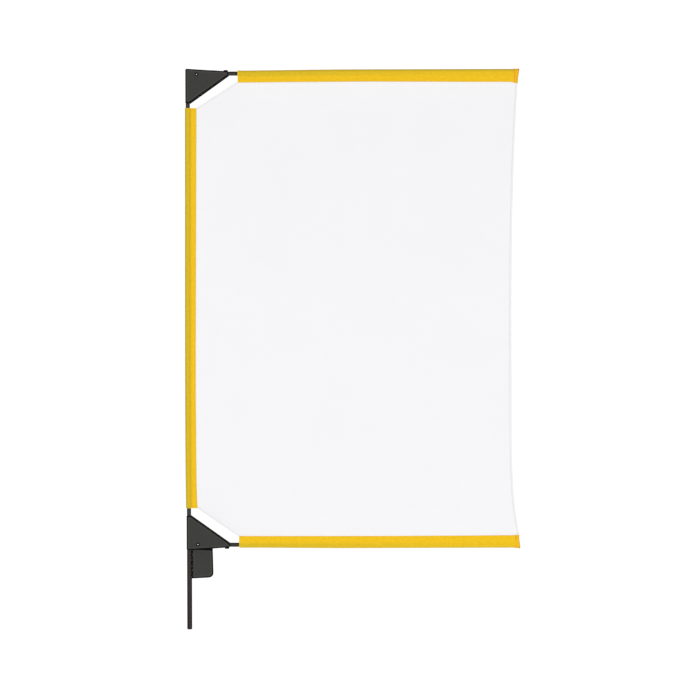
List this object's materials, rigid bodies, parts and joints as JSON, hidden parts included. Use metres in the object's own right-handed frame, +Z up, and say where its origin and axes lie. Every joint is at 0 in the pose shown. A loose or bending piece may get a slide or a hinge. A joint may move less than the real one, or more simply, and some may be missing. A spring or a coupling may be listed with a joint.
{
  "type": "open-end grip scrim",
  "caption": "Three-sided folding rod frame on a grip pin, holding a white diffusion rag with yellow sleeves and one bare edge to soften a light.",
  "frame": {"origin": "centre of the grip pin's bottom end face", "axes": "+Z up along the pin and the spine, +X from the spine along the two arms towards the free edge, +Y from the front to the back"},
  "size_m": [0.6332, 0.024, 1.0642],
  "materials": {
    "powder_coat": "satin",
    "black_rod": "satin",
    "pin_steel": "semi-gloss, worn by clamps",
    "zinc": "zinc plated",
    "black_rivet": "blackened, rubbed at the rim",
    "nylon": "matte",
    "stop_rubber": "matte",
    "white_silk": "fine translucent weave",
    "yellow_cloth": "ribbed heavy weave",
    "yellow_binding": "folded binding, bar tacked",
    "black_tape": "hook and loop pile"
  },
  "bodies": {
    "frame": {"spine_tube": "black_rod", "upper_bracket": "powder_coat", "lower_bracket": "powder_coat", "upper_spine_block": "powder_coat", "lower_spine_block": "powder_coat", "upper_stop_pad": "stop_rubber", "lower_stop_pad": "stop_rubber", "upper_pivot_rivet": "black_rivet", "lower_pivot_rivet": "black_rivet", "upper_pivot_spacer": "nylon", "lower_pivot_spacer": "nylon", "upper_friction_washer": "zinc", "lower_friction_washer": "zinc", "grip_pin": "pin_steel", "paddle_plate": "powder_coat", "panel": "white_silk", "spine_sleeve": "yellow_cloth", "loop_tape": "black_tape", "hook_tape": "black_tape"},
    "upper_arm_assembly": {"upper_arm": "black_rod", "upper_arm_end_plug": "nylon", "upper_sleeve": "yellow_cloth", "upper_sleeve_end_binding": "yellow_binding"},
    "lower_arm_assembly": {"lower_arm": "black_rod", "lower_arm_end_plug": "nylon", "lower_sleeve": "yellow_cloth", "lower_sleeve_end_binding": "yellow_binding"}
  },
  "joints": [
    {"name": "upper_arm_fold", "type": "hinge", "parent": "frame", "child": "upper_arm_assembly", "pos_m": [0.0167, 0, 1.0532], "axis": [0, 1, 0], "range_deg": [0, 90], "deforming": ["panel", "spine_sleeve", "upper_sleeve", "upper_sleeve_end_binding"]},
    {"name": "lower_arm_fold", "type": "hinge", "parent": "frame", "child": "lower_arm_assembly", "pos_m": [0.0167, 0, 0.1618], "axis": [0, -1, 0], "range_deg": [0, 90], "deforming": ["lower_sleeve", "lower_sleeve_end_binding"]}
  ],
  "couplings": [
    {"joint": "lower_arm_fold", "follows": "upper_arm_fold", "ratio": 1}
  ]
}
